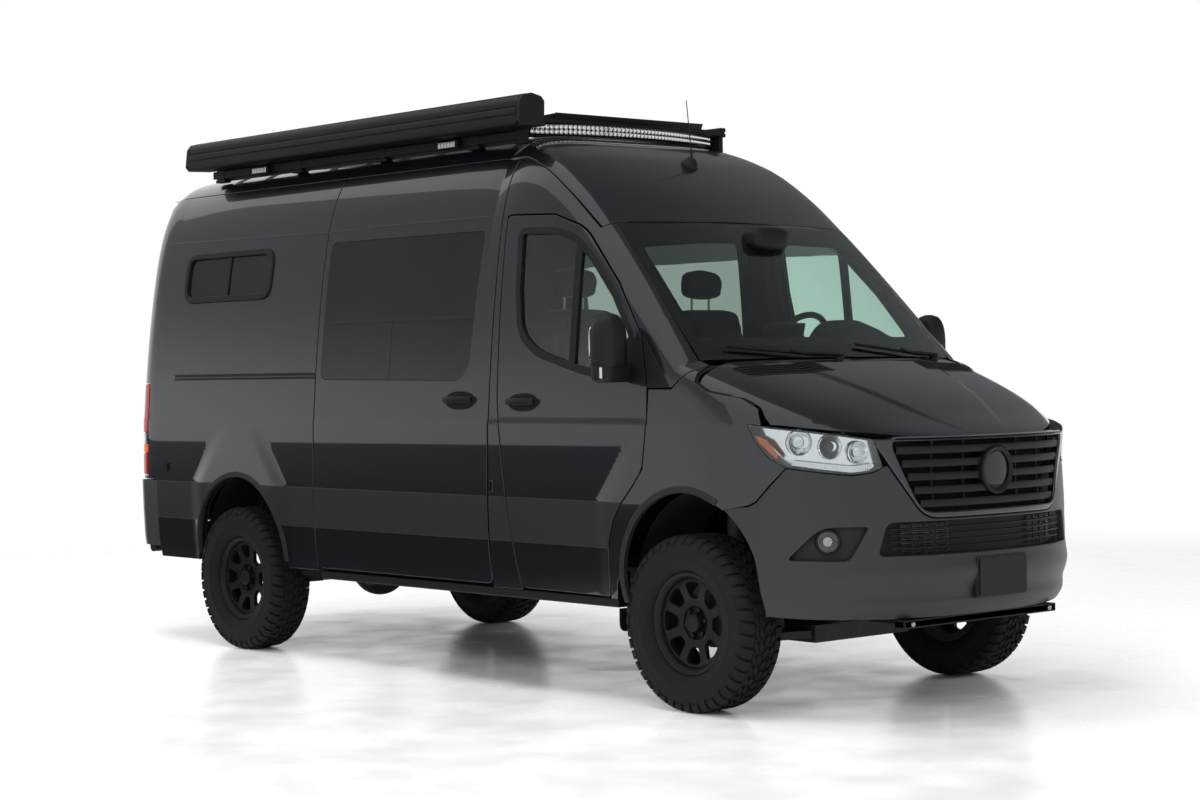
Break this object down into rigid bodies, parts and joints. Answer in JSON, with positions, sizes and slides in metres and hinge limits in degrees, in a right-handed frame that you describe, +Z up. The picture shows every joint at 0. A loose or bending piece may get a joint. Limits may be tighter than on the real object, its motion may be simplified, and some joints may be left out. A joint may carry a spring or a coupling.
{
  "type": "high-roof van",
  "caption": "High-roof all-terrain van with opening front doors, rear doors and bonnet, steered front wheels, roof rack, light bar and awning case.",
  "frame": {"origin": "on the ground under the middle of the van", "axes": "+X toward the front, +Y to the left, +Z up"},
  "size_m": [5.94, 2.34, 2.9025],
  "materials": {
    "paint": "gloss",
    "black_metal": "satin",
    "steel": "matte",
    "pane": "gloss",
    "charcoal_plastic": "satin",
    "black_plastic": "satin",
    "flap_rubber": "matte",
    "lamp_lens": "gloss",
    "red_lens": "gloss",
    "seat_cloth": "matte",
    "wheel_black": "satin",
    "tread": "matte"
  },
  "bodies": {
    "van": {"chassis": "black_metal", "floor_pan": "steel", "left_side": "paint", "right_side": "paint", "roof": "paint", "cab_frame": "paint", "windscreen": "pane", "sliding_door": "paint", "side_glass": "pane", "front_bumper": "charcoal_plastic", "grille": "black_plastic", "fenders": "paint", "headlamps": "lamp_lens", "tail_lamps": "red_lens", "rear_bumper": "charcoal_plastic", "roof_rack": "black_metal", "awning": "black_metal", "light_bar": "black_plastic", "antenna": "black_plastic", "mud_flaps": "flap_rubber", "dashboard": "black_plastic", "seats": "seat_cloth", "engine_block": "steel", "front_suspension": "steel", "rear_axle": "steel", "underbody": "steel"},
    "right_front_door": {"right_door": "paint", "right_door_glass": "pane", "right_mirror": "black_plastic"},
    "left_front_door": {"left_door": "paint", "left_door_glass": "pane", "left_mirror": "black_plastic"},
    "right_cargo_door": {"right_rear_door": "paint", "right_rear_glass": "pane"},
    "left_cargo_door": {"left_rear_door": "paint", "left_rear_glass": "pane"},
    "hood": {"bonnet": "paint"},
    "helm": {"steering_wheel": "black_plastic"},
    "right_upright": {"right_knuckle": "steel"},
    "left_upright": {"left_knuckle": "steel"},
    "front_right_wheel": {"front_right_rim": "wheel_black", "front_right_tyre": "tread"},
    "front_left_wheel": {"front_left_rim": "wheel_black", "front_left_tyre": "tread"},
    "rear_right_wheel": {"rear_right_rim": "wheel_black", "rear_right_tyre": "tread"},
    "rear_left_wheel": {"rear_left_rim": "wheel_black", "rear_left_tyre": "tread"}
  },
  "joints": [
    {"name": "right_front_door_hinge", "type": "hinge", "parent": "van", "child": "right_front_door", "pos_m": [1.744, -1.008, 1], "axis": [0, 0, 1], "range_deg": [0, 70]},
    {"name": "left_front_door_hinge", "type": "hinge", "parent": "van", "child": "left_front_door", "pos_m": [1.744, 1.008, 1], "axis": [0, 0, -1], "range_deg": [0, 70]},
    {"name": "right_cargo_door_hinge", "type": "hinge", "parent": "van", "child": "right_cargo_door", "pos_m": [-2.862, -0.796, 1], "axis": [0, 0, 1], "range_deg": [0, 180]},
    {"name": "left_cargo_door_hinge", "type": "hinge", "parent": "van", "child": "left_cargo_door", "pos_m": [-2.862, 0.796, 1], "axis": [0, 0, -1], "range_deg": [0, 180]},
    {"name": "hood_hinge", "type": "hinge", "parent": "van", "child": "hood", "pos_m": [1.94, 0, 1.59], "axis": [0, -1, 0], "range_deg": [0, 50]},
    {"name": "right_steer", "type": "hinge", "parent": "van", "child": "right_upright", "pos_m": [1.96, -0.8, 0.399], "axis": [0, 0, 1], "range_deg": [-35, 35]},
    {"name": "left_steer", "type": "hinge", "parent": "van", "child": "left_upright", "pos_m": [1.96, 0.8, 0.399], "axis": [0, 0, 1], "range_deg": [-35, 35]},
    {"name": "helm_turn", "type": "hinge", "parent": "van", "child": "helm", "pos_m": [1.35, 0.4, 1.628], "axis": [-0.8829, 0, 0.4695], "range_deg": [-525, 525]},
    {"name": "front_right_spin", "type": "hinge", "parent": "right_upright", "child": "front_right_wheel", "pos_m": [1.96, -0.872, 0.399], "axis": [0, 1, 0], "continuous": true},
    {"name": "front_left_spin", "type": "hinge", "parent": "left_upright", "child": "front_left_wheel", "pos_m": [1.96, 0.872, 0.399], "axis": [0, 1, 0], "continuous": true},
    {"name": "rear_right_spin", "type": "hinge", "parent": "van", "child": "rear_right_wheel", "pos_m": [-1.705, -0.872, 0.399], "axis": [0, 1, 0], "continuous": true},
    {"name": "rear_left_spin", "type": "hinge", "parent": "van", "child": "rear_left_wheel", "pos_m": [-1.705, 0.872, 0.399], "axis": [0, 1, 0], "continuous": true}
  ],
  "couplings": [
    {"joint": "left_steer", "follows": "right_steer", "ratio": 1},
    {"joint": "helm_turn", "follows": "right_steer", "ratio": 15}
  ]
}
